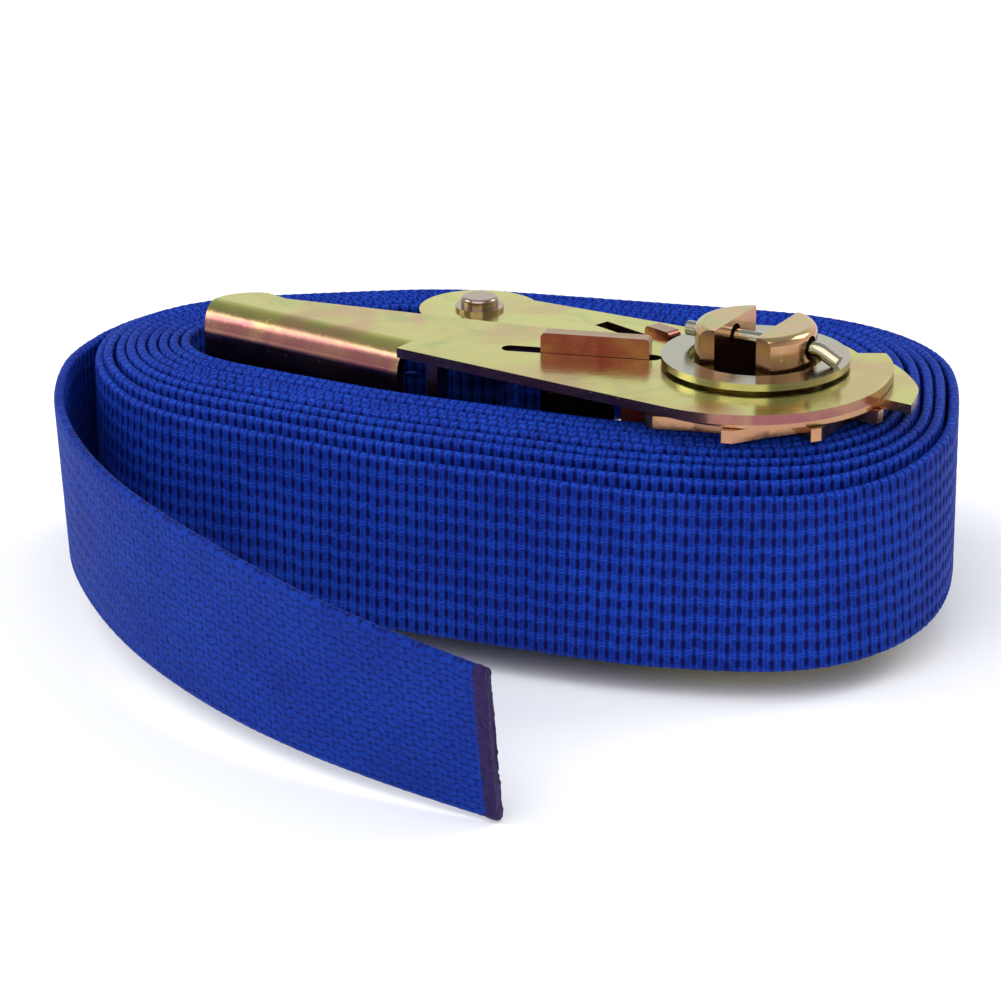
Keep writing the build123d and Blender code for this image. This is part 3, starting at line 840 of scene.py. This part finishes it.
# the side tint on bends, cut edges and sides is coppery plating and painted shade: it is darker than the
# flat tint, as those faces look under this light
on_side = bath_maths("SUBTRACT", 1.0, bath_step(upright, 0.55, 0.999))
warm_share = bath_maths("MULTIPLY", bath_step(cloud, 0.46, 0.66), 0.75)
tint = blend_colour(plating_look, warm_share, bath_in.outputs["Flat"], bath_in.outputs["Warm"])
cool_share = bath_maths("MULTIPLY", bath_step(second_cloud, 0.5, 0.7), 0.7)
tint = blend_colour(plating_look, cool_share, tint, bath_in.outputs["Cool"])
clouded = bath_maths("MULTIPLY_ADD", second_cloud, 0.9, 0.45)
side_share = bath_maths("MULTIPLY", on_side, clouded, clamp=True)
tint = blend_colour(plating_look, side_share, tint, bath_in.outputs["Side"])
stretched = {"Vector": bath_in.outputs["Place"], "Scale": (1.0, scratch_stretch, scratch_stretch)}
drawn = set_up(plating_look, "ShaderNodeMapping", stretched)
scratch = bath_step(bath_noise(scratch_scale, 4.0, 0.2, drawn.outputs["Vector"]), 0.62, 0.80)
satin = bath_maths("MULTIPLY_ADD", cloud, 0.16, 0.11)
rub = bath_maths("ADD", satin, bath_maths("MULTIPLY", scratch, 0.14))
tint = blend_colour(plating_look, bath_maths("MULTIPLY", scratch, 0.15), tint, worn_tint)
peel = bath_maths("ADD", bath_noise(peel_scale, 2.0), bath_maths("MULTIPLY", scratch, -0.4))
plating_look.links.new(tint, bath_out.inputs["Color"])
plating_look.links.new(rub, bath_out.inputs["Roughness"])
plating_look.links.new(peel, bath_out.inputs["Height"])


def plated(name, flat, warm, cool, side, relief=0.10):
    """A glossy plated steel with its own four tints."""
    material = bpy.data.materials.new(name)
    material.use_nodes = True
    tree = material.node_tree
    shader = tree.nodes["Principled BSDF"]
    place = set_up(tree, "ShaderNodeTexCoord")
    look = set_up(
        tree,
        "ShaderNodeGroup",
        {
            "Place": place.outputs["Object"],
            "Facing": place.outputs["Normal"],
            "Flat": (*flat, 1),
            "Warm": (*warm, 1),
            "Cool": (*cool, 1),
            "Side": (*side, 1),
        },
        node_tree=plating_look,
    )
    bump = set_up(
        tree,
        "ShaderNodeBump",
        {"Height": look.outputs["Height"], "Strength": relief, "Distance": 0.0003},
    )
    tree.links.new(look.outputs["Color"], shader.inputs["Base Color"])
    tree.links.new(look.outputs["Roughness"], shader.inputs["Roughness"])
    tree.links.new(bump.outputs["Normal"], shader.inputs["Normal"])
    shader.inputs["Metallic"].default_value = 1.0
    return material


def give(material, *nodes):
    """Puts the finish on CAD pieces."""
    for node in nodes:
        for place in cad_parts[node].material_slots:
            place.material = material


handle_plating = plated(
    "handle_plating", (0.55, 0.53, 0.14), (0.54, 0.33, 0.16), (0.38, 0.46, 0.13), (0.27, 0.10, 0.10)
)
base_plating = plated(
    "base_plating", (0.57, 0.57, 0.15), (0.54, 0.40, 0.17), (0.38, 0.47, 0.14), (0.42, 0.22, 0.13)
)
give(handle_plating, "handle", "handle_bridge")
give(base_plating, "base_plate_upper", "base_plate_lower", "frame_bridge")
pawl_plating = plated(
    "pawl_plating", (0.38, 0.25, 0.13), (0.34, 0.11, 0.11), (0.20, 0.31, 0.07), (0.15, 0.030, 0.036)
)
give(pawl_plating, "drive_pawl", "lock_pawl")
spool_plating = plated(
    "spool_plating", (0.54, 0.42, 0.18), (0.64, 0.37, 0.30), (0.36, 0.44, 0.15), (0.46, 0.23, 0.13)
)
give(spool_plating, "spool_bar_left", "spool_bar_right", "ratchet_wheel_upper", "ratchet_wheel_lower")
bolt_plating = plated(
    "bolt_plating", (0.42, 0.34, 0.27), (0.48, 0.33, 0.25), (0.34, 0.36, 0.26), (0.22, 0.14, 0.11)
)
give(bolt_plating, "fixed_bolt", "bolt_sleeve", "bolt_washer_upper", "bolt_washer_lower")
washer_zinc = plated(
    "washer_zinc", (0.41, 0.41, 0.32), (0.46, 0.40, 0.30), (0.33, 0.40, 0.40), (0.38, 0.35, 0.23), 0.06
)
give(washer_zinc, "spool_washer_upper", "spool_washer_lower", "split_pin")
spring_wire = plated(
    "spring_wire", (0.30, 0.30, 0.31), (0.26, 0.24, 0.22), (0.33, 0.35, 0.38), (0.24, 0.24, 0.25), 0.05
)

# Pawl springs.
# A coil of steel wire stands round each pawl's stem, between the pawl and its bridge.
coil_radius = 0.0022
wire_radius = 0.00035
coil_pitch = 0.0022


def coil_tree():
    """The springs' geometry tree: a wire wound round the Z axis."""
    tree = bpy.data.node_groups.new("coil_spring", "GeometryNodeTree")
    for label, kind in (
        ("Turns", "NodeSocketFloat"),
        ("Length", "NodeSocketFloat"),
        ("Coil Radius", "NodeSocketFloat"),
        ("Wire Radius", "NodeSocketFloat"),
        ("Material", "NodeSocketMaterial"),
    ):
        tree.interface.new_socket(label, in_out="INPUT", socket_type=kind)
    tree.interface.new_socket("Spring", in_out="OUTPUT", socket_type="NodeSocketGeometry")
    given, made = tree.nodes.new("NodeGroupInput"), tree.nodes.new("NodeGroupOutput")
    turns = set_up(
        tree,
        "GeometryNodeCurveSpiral",
        {
            "Resolution": 40,
            "Rotations": given.outputs["Turns"],
            "Start Radius": given.outputs["Coil Radius"],
            "End Radius": given.outputs["Coil Radius"],
            "Height": given.outputs["Length"],
        },
    )
    round_wire = {"Resolution": 16, "Radius": given.outputs["Wire Radius"]}
    section = set_up(tree, "GeometryNodeCurvePrimitiveCircle", round_wire)
    wire = set_up(
        tree,
        "GeometryNodeCurveToMesh",
        {"Curve": turns.outputs["Curve"], "Profile Curve": section.outputs["Curve"], "Fill Caps": True},
    )
    smooth = set_up(tree, "GeometryNodeSetShadeSmooth", {"Geometry": wire.outputs["Mesh"]})
    finish = set_up(
        tree,
        "GeometryNodeSetMaterial",
        {"Geometry": smooth.outputs["Geometry"], "Material": given.outputs["Material"]},
    )
    real = set_up(tree, "GeometryNodeRealizeInstances", {"Geometry": finish.outputs["Geometry"]})
    tree.links.new(real.outputs["Geometry"], made.inputs["Spring"])
    return tree


coil = coil_tree()
for name, body, joint, heading, start, end, travel in (
    ("drive_pawl_coil", "handle", "drive_pawl_pull", 168, 0.0305, 0.0434, 0.0042),
    ("lock_pawl_coil", "frame", "lock_pawl_lift", 132, 0.0214, 0.0354, 0.0049),
):
    reach = end - start
    spring = by_tree(
        name,
        bpy.data.meshes.new(name),
        coil,
        {
            "Turns": reach / coil_pitch,
            "Length": reach,
            "Coil Radius": coil_radius,
            "Wire Radius": wire_radius,
            "Material": spring_wire,
        },
    )
    run = Vector((math.cos(math.radians(heading)), math.sin(math.radians(heading)), 0))
    foot = run * start + Vector((0, 0, strap_middle))
    spring.data.transform(Matrix.Translation(foot) @ run.to_track_quat("Z", "Y").to_matrix().to_4x4())
    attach(spring, body)
    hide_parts(name.replace("coil", "spring"))
    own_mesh(spring)
